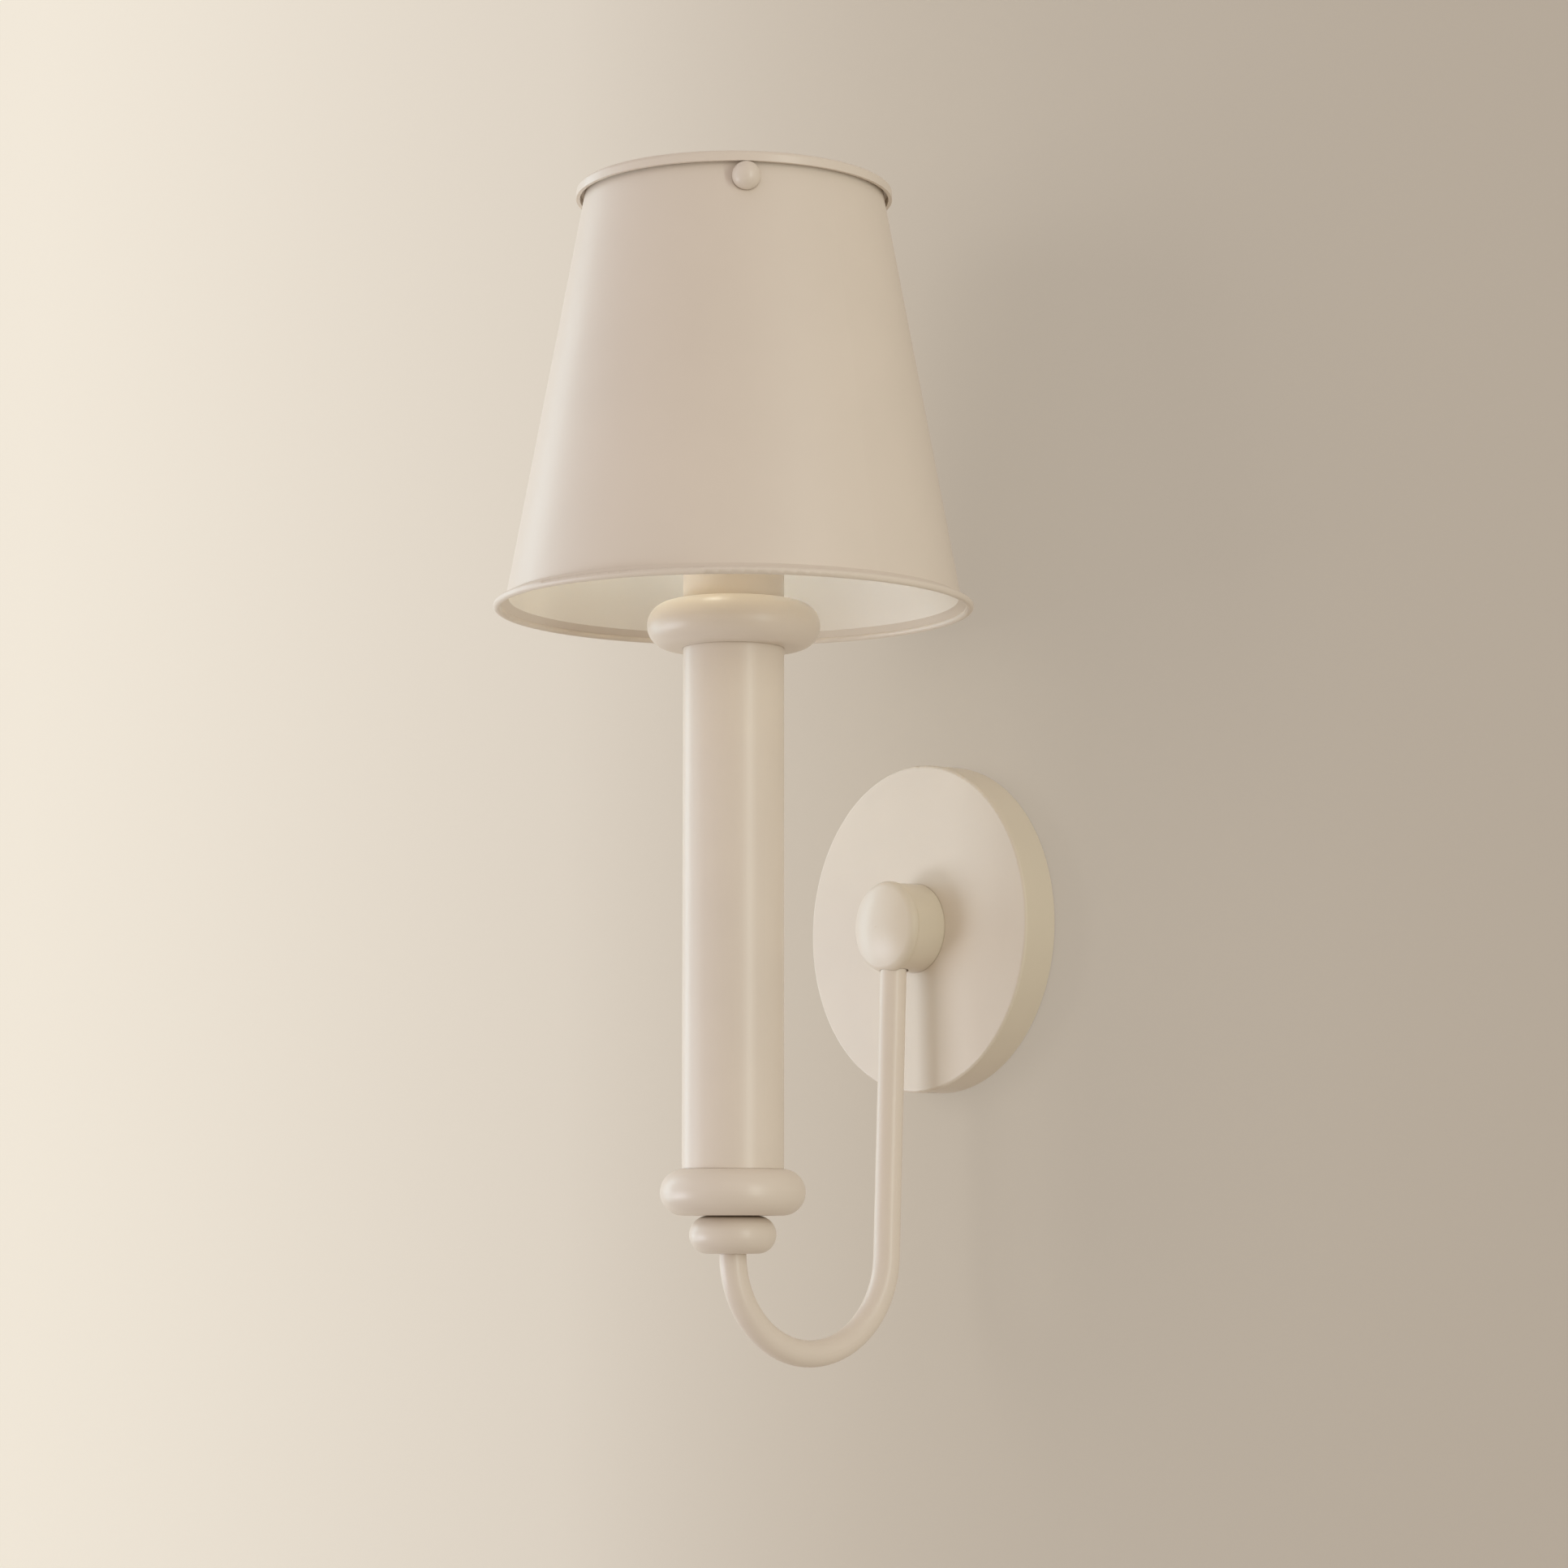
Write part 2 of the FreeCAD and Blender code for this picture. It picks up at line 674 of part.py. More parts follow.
def column_stack():
    """Boss, disc, column, flange and sleeve, which stand on each other."""
    arm_recess = (S.arm_radius + S.fit, S.arm_insert + S.fit)
    boss = round_disc("Boss", S.boss_radius, S.boss_height, rod_hole, arm_recess, None)
    on_column(boss, 0 - S.boss_base, "lower_boss")

    washer_recess = (rod_hole + 1.0, 1.5)
    spigot = column_bore - S.fit
    disc = round_disc("Disc", S.disc_radius, S.disc_height, rod_hole, washer_recess, spigot)
    on_column(disc, boss_top, "lower_disc")

    column = turned("Column", tube(column_bore, S.column_radius, 0, S.column_length))
    on_column(column, disc_top, "column_tube")

    top_recess = (column_bore - S.column_wall * 2, S.spigot_height)
    sleeve_bore = S.column_radius - S.sleeve_wall
    flange = round_disc("Flange", S.flange_radius, S.flange_height, rod_hole, top_recess, None)
    on_column(flange, column_top, "upper_flange")

    plug = turned(
        "ColumnPlug",
        [
            (rod_hole, 0),
            (spigot, 0),
            (spigot, S.spigot_height * 2),
            (top_recess[0] - S.fit, S.spigot_height * 2),
            (top_recess[0] - S.fit, S.spigot_height * 3 - S.fit),
            (rod_hole, S.spigot_height * 3 - S.fit),
        ],
    )
    on_column(plug, column_top - S.spigot_height * 2, "column_plug")

    sleeve = turned("Sleeve", tube(sleeve_bore, S.column_radius, 0, S.sleeve_length))
    on_column(sleeve, flange_top, "lampholder_sleeve")


top_washer_radius = S.column_radius - S.sleeve_wall - S.fit
nut_base = flange_top + S.washer_height
holder_base = nut_base + S.nut_height + S.holder_lift


def column_fixings():
    """Threaded rod through the column, with the washer and nut that clamp the stack."""
    rod_base = arm_end + S.fit * 2
    rod_length = holder_base + 7.0 - rod_base
    rod = turned("Rod", tube(S.thread_bore, S.thread_radius, 0, rod_length))
    on_column(rod, rod_base, "threaded_rod")
    washer = turned("TopWasher", tube(rod_hole, top_washer_radius, 0, S.washer_height))
    on_column(washer, flange_top, "top_washer")
    nut = hex_nut("TopNut")
    for solid in (nut.Base, nut.Tool):
        place(solid, y=0 - S.axis_offset, z=nut_base)
    node(nut, "top_nut")


# ---------------------------------------------------------------- lampholder and bulb

shoulder_base = sleeve_top - holder_base
shoulder_top = shoulder_base + S.holder_shoulder
holder_height = shoulder_top + S.skirt_height
contact_base = holder_base + S.holder_floor
bulb_base = contact_base + S.contact_height + S.bulb_gap


def lampholder():
    """Moulded lampholder on the rod's end, with its screw shell and centre contact."""
    floor = S.holder_floor
    body = turned(
        "Lampholder",
        [
            (rod_hole, 0),
            (S.holder_radius - 3.0, 0),
            (S.holder_radius, 3.0, 3.0),
            (S.holder_radius, shoulder_base),
            (S.column_radius, shoulder_base),
            (S.column_radius, shoulder_top),
            (S.skirt_radius, shoulder_top),
            (S.skirt_radius, holder_height),
            (S.holder_bore, holder_height),
            (S.holder_bore, floor),
            (S.thread_bore, floor),
            (S.thread_bore, 7.5),
            (rod_hole, 7.5),
        ],
    )
    on_column(body, holder_base, "lampholder_body")

    shell = turned("Shell", tube(S.shell_radius - S.shell_wall, S.shell_radius, 0, S.shell_length))
    on_column(shell, holder_base + holder_height - 3.0 - S.shell_length, "lampholder_shell")

    contact = turned(
        "Contact",
        [
            (0, 0),
            (S.contact_radius * 2, 0),
            (S.contact_radius * 2, 1.0),
            (S.contact_radius, 1.0),
            (S.contact_radius, S.contact_height),
            (0, S.contact_height),
        ],
    )
    on_column(contact, contact_base, "lampholder_contact")


def bulb():
    """Tubular bulb, slim enough to pass the fitter ring: a screw cap and a glass."""
    cap = turned(
        "BulbCap",
        [
            (0, 0),
            (S.contact_radius, 0),
            (S.contact_radius + 0.8, 2.5),
            (S.bulb_cap_radius, 4.5),
            (S.bulb_cap_radius, S.bulb_cap_length),
            (0, S.bulb_cap_length),
        ],
    )
    on_column(cap, bulb_base, "bulb_cap")
    start = S.bulb_cap_length + S.fit
    glass = turned(
        "BulbGlass",
        [
            (0, start),
            (S.bulb_neck, start),
            (S.bulb_neck, start + 4.0),
            (S.bulb_radius, start + 11.0),
            (S.bulb_radius, S.bulb_length - S.bulb_radius),
            (0, S.bulb_length, S.bulb_radius),
        ],
    )
    on_column(glass, bulb_base, "bulb_glass")


# ---------------------------------------------------------------- shade

shoulder_height = holder_base + shoulder_top
fitter_base = shoulder_height + S.shade_seat
shade_base = fitter_base - S.shade_drop
fitter_top = fitter_base + S.fitter_sheet
shade_slope = (S.shade_mouth - S.shade_top) / S.shade_height
web_base = S.shade_height - S.ring_sheet
ring_radius = S.shade_top + S.ring_reach
screw_height = S.shade_height - S.screw_drop


def wall_radius(height):
    """Outer radius of the shade's wall at a height over its lower edge."""
    return S.shade_mouth - shade_slope * height


def ring_skirt_radius(height):
    """Outer radius of the top ring's skirt, which lies against the wall's inside."""
    return wall_radius(height) - S.shade_sheet - S.skirt_space


def screw_placements(stand):
    """Where the ball screws sit on the wall, square to it, their own +Z outwards."""
    tilt = math.degrees(math.atan(shade_slope.value))
    upright = FreeCAD.Rotation(FreeCAD.Vector(0, 1, 0), 90 - tilt)
    seat = FreeCAD.Vector(wall_radius(screw_height).value, 0, screw_height.value)
    places = []
    count = int(S.screw_count.value)
    for number in range(count):
        azimuth = S.screw_azimuth.value - 90 + 360 / count * number
        turn = FreeCAD.Rotation(FreeCAD.Vector(0, 0, 1), azimuth)
        along = turn.multVec(upright.multVec(FreeCAD.Vector(0, 0, 1)))
        origin = FreeCAD.Vector(0, -S.axis_offset.value, shade_base.value)
        base = origin + turn.multVec(seat) + along * stand
        places.append(FreeCAD.Placement(base, turn.multiply(upright)))
    return places


def screw_holes(name, radius):
    """Cylinders that drill the ball screws' holes through shade, ring and legs."""
    holes = []
    depth = S.screw_length.value + 2.0
    for place_of_hole in screw_placements(-depth):
        hole = cylinder(name, radius, S.screw_length + 4.0)
        hole.Placement = place_of_hole
        holes.append(hole)
    return compound(name + "Group", holes)


def drilled(body, label):
    """Places a shade piece on the column's axis and drills it for the ball screws."""
    place(body, y=0 - S.axis_offset, z=shade_base)
    holes = screw_holes(body.Name + "Hole", S.screw_radius + S.screw_slack)
    node(cut(body.Name + "Drilled", body, holes), label)


def shade():
    """Conical spun shade: its wall turns out at the foot into a rolled edge."""
    bead_centre = S.shade_mouth + S.hem_reach - S.bead_radius
    half_sheet = S.shade_sheet / 2
    wall_top = web_base - S.ring_space
    wall = [
        (bead_centre, S.bead_radius - half_sheet),
        (bead_centre, S.bead_radius + half_sheet),
        (wall_radius(S.hem_height), S.hem_height),
        (wall_radius(wall_top), wall_top),
        (wall_radius(wall_top) - S.shade_sheet, wall_top),
        (wall_radius(S.hem_height) - S.shade_sheet, S.hem_height - half_sheet),
    ]
    body = turned("Shade", wall)
    bead = new_sketch(body, "XZ_Plane", "Bead")
    draw_circle(bead, bead_centre, S.bead_radius, S.bead_radius)
    revolve(body, bead, "BeadTurn")
    drilled(body, "shade")


def top_ring():
    """Open ring over the shade's top: a lip outside the wall and a skirt inside it."""
    top = S.shade_height
    foot = top - S.ring_skirt
    lip_foot = top - S.ring_lip
    lip_bore = ring_radius - S.ring_sheet
    body = turned(
        "TopRing",
        [
            (ring_skirt_radius(foot) - S.ring_sheet, foot),
            (ring_skirt_radius(foot), foot),
            (ring_skirt_radius(web_base), web_base),
            (lip_bore, web_base),
            (lip_bore, lip_foot),
            (ring_radius, lip_foot),
            (ring_radius, top - S.ring_sheet),
            (ring_radius - S.ring_sheet, top, S.ring_sheet),
            (ring_skirt_radius(top) - S.ring_sheet, top),
        ],
    )
    drilled(body, "top_ring")


def fitter():
    """Ring that sits on the lampholder, and legs that rise to the top ring's skirt."""
    body = new_body("Fitter")
    ring = new_sketch(body, "XZ_Plane", "Ring")
    base = S.shade_drop
    top = base + S.fitter_sheet
    draw_outline(ring, tube(S.fitter_bore, S.fitter_radius, base, top))
    revolve(body, ring)
    tab_top = S.shade_height - S.ring_lip
    tab_foot = tab_top - S.leg_tab

    def tab_radius(height):
        return ring_skirt_radius(height) - S.ring_sheet - S.skirt_space * 2

    leg = new_sketch(body, "XZ_Plane", "Leg")
    draw_outline(
        leg,
        [
            (S.fitter_radius - 2.0, base),
            (S.fitter_radius + 4.0, base),
            (tab_radius(tab_foot), tab_foot),
            (tab_radius(tab_top), tab_top),
            (tab_radius(tab_top) - S.fitter_sheet, tab_top),
            (tab_radius(tab_foot) - S.fitter_sheet, tab_foot),
            (S.fitter_radius + 3.0, top),
            (S.fitter_radius - 2.0, top),
        ],
    )
    leg_pad = pad(body, leg, S.leg_width)
    leg_pad.Midplane = True
    legs = body.newObject("PartDesign::PolarPattern", "Legs")
    legs.Originals = [leg_pad]
    legs.Axis = (leg, ["V_Axis"])
    legs.Angle = 360
    legs.Occurrences = int(S.screw_count.value)
    body.Tip = legs
    body.Placement.Rotation = FreeCAD.Rotation(FreeCAD.Vector(0, 0, 1), S.screw_azimuth.value - 90)
    drilled(body, "shade_fitter")


def ring_nut():
    """Knurled nut that clamps the fitter ring on the lampholder's threaded skirt."""
    flange = S.fitter_sheet
    body = turned(
        "RingNut",
        [
            (S.fitter_bore, 0),
            (S.fitter_radius - 0.5, 0),
            (S.fitter_radius - 0.5, flange),
            (S.ring_nut_radius, flange),
            (S.ring_nut_radius, S.ring_nut_height),
            (S.fitter_bore, S.ring_nut_height),
        ],
    )
    on_column(body, fitter_top + S.ring_nut_gap, "shade_ring_nut")


def ball_screws():
    """Ball headed screws that hold shade, top ring and legs together."""
    back = root(S.ball_radius * S.ball_radius - S.ball_stand * S.ball_stand)
    for number, seat in enumerate(screw_placements(S.ball_gap.value), start=1):
        body = turned(
            f"BallScrew{number}",
            [
                (0, 0 - S.screw_length),
                (S.screw_radius, 0 - S.screw_length),
                (S.screw_radius, 0),
                (back, 0),
                (S.ball_radius, S.ball_stand, S.ball_radius),
                (0, S.ball_stand + S.ball_radius, S.ball_radius),
            ],
        )
        body.Placement = seat
        node(body, f"ball_screw_{number}")


# ---------------------------------------------------------------- wiring


def rounded_path(points, radii):
    """Straight runs between the points, with a tangent arc at each inner point."""
    corners = [FreeCAD.Vector(*point) for point in points]
    edges = []
    last = corners[0]
    for number, radius in enumerate(radii, start=1):
        corner = corners[number]
        back = (corners[number - 1] - corner).normalize()
        ahead = (corners[number + 1] - corner).normalize()
        half_angle = back.getAngle(ahead) / 2
        run = radius / math.tan(half_angle)
        start = corner + back * run
        end = corner + ahead * run
        inward = (back + ahead).normalize()
        middle = corner + inward * (radius / math.sin(half_angle) - radius)
        if (start - last).Length > 0.001:
            edges.append(Part.LineSegment(last, start).toShape())
        edges.append(Part.Arc(start, middle, end).toShape())
        last = end
    edges.append(Part.LineSegment(last, corners[-1]).toShape())
    return Part.Wire(edges)


def swept_wire(label, points, radii):
    """A round wire along the path."""
    path = rounded_path(points, radii)
    start = FreeCAD.Vector(*points[0])
    direction = FreeCAD.Vector(*points[1]) - start
    section = Part.Wire(Part.makeCircle(S.wire_radius.value, start, direction))
    body = doc.addObject("Part::Feature", label)
    body.Shape = path.makePipeShell([section], True, False)
    expected = math.pi * S.wire_radius.value**2 * path.Length
    print(f"{label}: length {path.Length:.1f}, volume ratio {body.Shape.Volume / expected:.4f}")
    node(body, label)


def supply_wires():
    """Two wires from the connectors through hub, arm, boss and rod to the lampholder."""
    centre_y = S.bend_radius.value - S.axis_offset.value
    centre_z = arm_end.value - S.arm_insert.value
    top_y = -S.arm_offset.value
    top_z = -S.arm_top.value
    reach = math.hypot(top_y - centre_y, top_z - centre_z)
    lean = math.atan2(top_z - centre_z, top_y - centre_y) - math.acos(S.bend_radius.value / reach)
    bottom_z = centre_z - S.bend_radius.value
    slope_y = -math.sin(lean)
    slope_z = math.cos(lean)
    foot_y = top_y - slope_y * (top_z - bottom_z) / slope_z
    hub_y = top_y - slope_y * top_z / slope_z
    holder_z = holder_base.value + S.holder_floor.value - 0.2
    plane_y = -wire_plane.value
    for label, side in (("live_wire", 1), ("neutral_wire", -1)):
        x = S.wire_space.value * side
        reach_x = S.wire_reach.value * side
        swept_wire(
            label,
            [
                (x, -S.axis_offset.value, holder_z),
                (x, -S.axis_offset.value, bottom_z),
                (x, foot_y, bottom_z),
                (x, hub_y, 0.0),
                (x, plane_y, 0.0),
                (reach_x, plane_y, 0.0),
            ],
            [S.bend_radius.value, S.bend_radius.value, S.wire_turn.value, S.wire_radius.value * 1.6],
        )


def earth_wire():
    """Earth wire from its ring under the earth screw to its connector."""
    height = S.earth_height.value
    plane_y = -(S.bar_sheet.value + S.washer_height.value + S.wire_radius.value + 0.1)
    tail = S.earth_head.value + 0.4
    swept_wire(
        "earth_wire",
        [(tail, plane_y, height), (S.wire_reach.value, plane_y, height)],
        [],
    )
    ring = turned("EarthRing", tube(S.earth_thread + S.fit, S.earth_head + 0.8, 0, S.washer_height))
    tab = new_sketch(ring, "XY_Plane", "Tab")
    start = S.earth_thread + 1.0
    end = S.earth_head + 5.0
    draw_outline(tab, [(start, -1.5), (end, -1.5), (end, 1.5), (start, 1.5)])
    pad(ring, tab, S.washer_height)
    face_out(ring)
    place(ring, y=0 - S.bar_sheet, z=S.earth_height)
    node(ring, "earth_ring_terminal")


def connectors():
    """Three twist-on connectors that join the light's wires to the wall box."""
    cones = []
    for side, height in ((1, 0), (-1, 0), (1, S.earth_height)):
        cone = doc.addObject("Part::Cone", "Connector")
        bind(cone, "Radius1", S.connector_radius)
        bind(cone, "Radius2", S.connector_tip)
        bind(cone, "Height", S.connector_length)
        cone.Placement.Rotation = FreeCAD.Rotation(FreeCAD.Vector(0, 1, 0), 90 * side)
        place(cone, x=(S.wire_reach + S.fit) * side, y=0 - wire_plane, z=height)
        cones.append(cone)
    node(compound("Connectors", cones), "wire_connectors")


wall_plate()
crossbar()
rim_screws()
earth_screw()
hub_collar()
hub_cap()
hub_fixings()
arm()
column_stack()
column_fixings()
lampholder()
bulb()
shade()
top_ring()
fitter()
ring_nut()
ball_screws()
supply_wires()
earth_wire()
connectors()

doc.recompute()

for thing in doc.Objects:
    if "Invalid" in thing.State or "Error" in thing.State:
        raise RuntimeError(f"{thing.Label} failed: {thing.State}")
for thing in NODES:
    if thing.Shape.isNull() or not thing.Shape.isValid():
        raise RuntimeError(f"{thing.Label} has no valid shape")

os.makedirs("parts", exist_ok=True)
for thing in NODES:
    thing.Shape.exportStep(f"parts/{thing.Label}.step")
    box = thing.Shape.BoundBox
    print(
        f"{thing.Label}: {len(thing.Shape.Solids)} solid, {thing.Shape.Volume:.1f} mm3, "
        f"x {box.XMin:.1f} {box.XMax:.1f}, y {box.YMin:.1f} {box.YMax:.1f}, z {box.ZMin:.1f} {box.ZMax:.1f}"
    )
print(f"{len(NODES)} sub-parts")
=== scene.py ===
import json
import math

import bpy
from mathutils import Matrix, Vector


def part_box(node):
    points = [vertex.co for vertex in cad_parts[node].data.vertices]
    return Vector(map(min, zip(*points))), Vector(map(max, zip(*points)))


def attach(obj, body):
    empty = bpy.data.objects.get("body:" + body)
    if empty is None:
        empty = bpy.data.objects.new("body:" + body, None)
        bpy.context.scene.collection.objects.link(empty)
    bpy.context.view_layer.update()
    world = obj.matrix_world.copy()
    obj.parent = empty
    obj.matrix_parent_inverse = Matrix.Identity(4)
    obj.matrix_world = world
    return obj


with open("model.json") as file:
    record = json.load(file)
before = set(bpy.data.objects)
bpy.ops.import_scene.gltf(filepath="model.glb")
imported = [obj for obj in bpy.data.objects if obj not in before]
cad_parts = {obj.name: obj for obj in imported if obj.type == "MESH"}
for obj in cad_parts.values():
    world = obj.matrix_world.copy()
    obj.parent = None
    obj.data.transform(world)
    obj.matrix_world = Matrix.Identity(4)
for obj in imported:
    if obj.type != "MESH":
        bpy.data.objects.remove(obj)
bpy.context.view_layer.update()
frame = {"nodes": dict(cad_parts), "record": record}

# The wall is the plane y = 0 and the light stands out of it towards -Y, with +Z up. Lengths are in
# metres. The column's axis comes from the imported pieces, so that the added detail sits on it.
MM = 0.001
COLUMN_LOW, COLUMN_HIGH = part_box("column_tube")
AXIS = Vector(((COLUMN_LOW.x + COLUMN_HIGH.x) / 2, (COLUMN_LOW.y + COLUMN_HIGH.y) / 2, 0))

# ---------------------------------------------------------------- materials

FINE_RELIEF = 0.02 * MM


def material(name):
    """A new material, with its nodes, its links and its shader."""
    made = bpy.data.materials.new(name)
    made.use_nodes = True
    nodes = made.node_tree.nodes
    shader = nodes["Principled BSDF"]
    return made, nodes, made.node_tree.links, shader


def object_noise(nodes, links, scale, detail=2.0, rough=0.5):
    """Noise that stays fixed to the object's own coordinates."""
    place = nodes.new("ShaderNodeTexCoord")
    noise = nodes.new("ShaderNodeTexNoise")
    noise.inputs["Scale"].default_value = scale
    noise.inputs["Detail"].default_value = detail
    noise.inputs["Roughness"].default_value = rough
    links.new(place.outputs["Object"], noise.inputs["Vector"])
    return noise.outputs["Fac"]


def ramp(nodes, links, source, low, high, start=0.3, end=0.7):
    """Two colours, from low to high, over a stretch of the source."""
    made = nodes.new("ShaderNodeValToRGB")
    made.color_ramp.elements[0].position = start
    made.color_ramp.elements[0].color = (*low, 1)
    made.color_ramp.elements[1].position = end
    made.color_ramp.elements[1].color = (*high, 1)
    links.new(source, made.inputs["Fac"])
    return made.outputs["Color"]


def spread(nodes, links, source, low, high):
    """The source, mapped from 0..1 to low..high."""
    made = nodes.new("ShaderNodeMapRange")
    made.inputs["From Min"].default_value = 0.0
    made.inputs["From Max"].default_value = 1.0
    made.inputs["To Min"].default_value = low
    made.inputs["To Max"].default_value = high
    links.new(source, made.inputs["Value"])
    return made.outputs["Result"]


def bump(nodes, links, shader, source, strength, distance):
    """Surface relief from a height, in place of any relief that the shader had."""
    made = nodes.new("ShaderNodeBump")
    made.inputs["Strength"].default_value = strength
    made.inputs["Distance"].default_value = distance
    links.new(source, made.inputs["Height"])
    links.new(made.outputs["Normal"], shader.inputs["Normal"])


def shaded(colour, factor):
    """The colour, made lighter or darker."""
    return tuple(min(channel * factor, 1.0) for channel in colour)


# Painted shade: corners and joints are darkened by how closely other surfaces crowd round them,
# where shade falls.
CORNER_SHADE_REACH = 1.1 * MM
CORNER_SHADE_SAMPLES = 4
CORNER_SHADE_TINT = (0.62, 0.57, 0.50)
UNSHADED_TINT = (1.0, 1.0, 1.0)


def painted_corner_shade(nodes, links, source):
    """The colour with painted shade: darker in the narrow corners where two pieces meet, where
    shade falls.
    """
    closed = nodes.new("ShaderNodeAmbientOcclusion")
    closed.inputs["Distance"].default_value = CORNER_SHADE_REACH
    closed.samples = CORNER_SHADE_SAMPLES
    depth = ramp(
        nodes, links, closed.outputs["AO"], CORNER_SHADE_TINT, UNSHADED_TINT, start=0.38, end=0.75
    )
    darker = nodes.new("ShaderNodeVectorMath")
    darker.operation = "MULTIPLY"
    links.new(source, darker.inputs[0])
    links.new(depth, darker.inputs[1])
    return darker.outputs["Vector"]


PAINT_GLOSS_DRIFT = 0.008
PEEL_SCALE = 2600.0
PEEL_STRENGTH = 0.25


def paint(name, colour, rough, tone=0.02, shine=0.35):
    """Sprayed satin paint: very slight clouding of tone and gloss, a fine orange peel, and painted
    shade in the corners where pieces meet.
    """
    made, nodes, links, shader = material(name)
    clouds = object_noise(nodes, links, scale=22.0, detail=3.0, rough=0.6)
    low = shaded(colour, 1 - tone)
    high = shaded(colour, 1 + tone)
    clouded = ramp(nodes, links, clouds, low, high)
    # The clouded colour gets painted shade in its corners.
    links.new(painted_corner_shade(nodes, links, clouded), shader.inputs["Base Color"])
    patches = object_noise(nodes, links, scale=30.0)
    least = rough - PAINT_GLOSS_DRIFT
    most = rough + PAINT_GLOSS_DRIFT
    links.new(spread(nodes, links, patches, least, most), shader.inputs["Roughness"])
    peel = object_noise(nodes, links, PEEL_SCALE)
    bump(nodes, links, shader, peel, PEEL_STRENGTH, FINE_RELIEF)
    shader.inputs["Specular IOR Level"].default_value = shine
    return made


METAL_TONE = 0.12
METAL_SMOOTHER = 0.06
METAL_ROUGHER = 0.08
METAL_LINE_SCALE = 900.0
METAL_LINE_STRENGTH = 0.2


def metal(name, colour, rough):
    """Plated or turned metal with fine lines and uneven gloss."""
    made, nodes, links, shader = material(name)
    clouds = object_noise(nodes, links, scale=90.0, detail=4.0, rough=0.7)
    low = shaded(colour, 1 - METAL_TONE)
    links.new(ramp(nodes, links, clouds, low, colour), shader.inputs["Base Color"])
    shader.inputs["Metallic"].default_value = 1.0
    least = rough - METAL_SMOOTHER
    most = rough + METAL_ROUGHER
    links.new(spread(nodes, links, clouds, least, most), shader.inputs["Roughness"])
    lines = object_noise(nodes, links, METAL_LINE_SCALE, detail=3.0)
    bump(nodes, links, shader, lines, METAL_LINE_STRENGTH, FINE_RELIEF)
    return made


# A wave texture of scale 1 runs through this many radians along one unit of length.
WAVE_RADIANS = 20
THREAD_DEPTH_SHARE = 0.3
THREAD_STRENGTH = 1.0


def threaded(name, colour, rough, axis, pitch):
    """Metal whose relief is a screw thread: ridges across the axis, one pitch apart."""
    made = metal(name, colour, rough)
    nodes, links = made.node_tree.nodes, made.node_tree.links
    place = nodes.new("ShaderNodeTexCoord")
    wave = nodes.new("ShaderNodeTexWave")
    wave.bands_direction = axis
    wave.inputs["Scale"].default_value = 2 * math.pi / (WAVE_RADIANS * pitch)
    links.new(place.outputs["Object"], wave.inputs["Vector"])
    shader = nodes["Principled BSDF"]
    depth = THREAD_DEPTH_SHARE * pitch
    bump(nodes, links, shader, wave.outputs["Fac"], THREAD_STRENGTH, depth)
    return made


PLASTIC_TONE = 0.04
PLASTIC_GLOSS_DRIFT = 0.04
PLASTIC_GRAIN_SCALE = 3000.0
PLASTIC_GRAIN_STRENGTH = 0.3


def plastic(name, colour, rough):
    """Moulded plastic with a faint grain."""
    made, nodes, links, shader = material(name)
    clouds = object_noise(nodes, links, scale=40.0)
    low = shaded(colour, 1 - PLASTIC_TONE)
    links.new(ramp(nodes, links, clouds, low, colour), shader.inputs["Base Color"])
    least = rough - PLASTIC_GLOSS_DRIFT
    most = rough + PLASTIC_GLOSS_DRIFT
    links.new(spread(nodes, links, clouds, least, most), shader.inputs["Roughness"])
    grain = object_noise(nodes, links, PLASTIC_GRAIN_SCALE, detail=1.0)
    bump(nodes, links, shader, grain, PLASTIC_GRAIN_STRENGTH, FINE_RELIEF)
    return made


STRIPE_SCALE = 220.0
STRIPE_ROUGH = (0.42, 0.5)


def striped_sleeving(name, first, second):
    """Wire sleeving with a second colour that runs slantwise across it in bands."""
    made, nodes, links, shader = material(name)
    place = nodes.new("ShaderNodeTexCoord")
    wave = nodes.new("ShaderNodeTexWave")
    wave.inputs["Scale"].default_value = STRIPE_SCALE
    wave.bands_direction = "DIAGONAL"
    links.new(place.outputs["Object"], wave.inputs["Vector"])
    bands = wave.outputs["Fac"]
    colours = ramp(nodes, links, bands, first, second, start=0.45, end=0.55)
    links.new(colours, shader.inputs["Base Color"])
    links.new(spread(nodes, links, bands, *STRIPE_ROUGH), shader.inputs["Roughness"])
    return made


GLASS_TONE = 0.97
GLASS_ROUGH = (0.22, 0.3)
GLASS_MILK = 0.35
GLASS_MILK_DEPTH = (6.0 * MM, 6.0 * MM, 5.0 * MM)
GLASS_COAT = 0.3
GLASS_COAT_ROUGH = 0.12


def frosted_glass(name, colour):
    """Opal lamp glass: milky inside, with a soft gloss."""
    made, nodes, links, shader = material(name)
    clouds = object_noise(nodes, links, scale=30.0)
    low = shaded(colour, GLASS_TONE)
    links.new(ramp(nodes, links, clouds, low, colour), shader.inputs["Base Color"])
    links.new(spread(nodes, links, clouds, *GLASS_ROUGH), shader.inputs["Roughness"])
    shader.inputs["Subsurface Weight"].default_value = GLASS_MILK
    shader.inputs["Subsurface Radius"].default_value = GLASS_MILK_DEPTH
    shader.inputs["Coat Weight"].default_value = GLASS_COAT
    shader.inputs["Coat Roughness"].default_value = GLASS_COAT_ROUGH
    return made


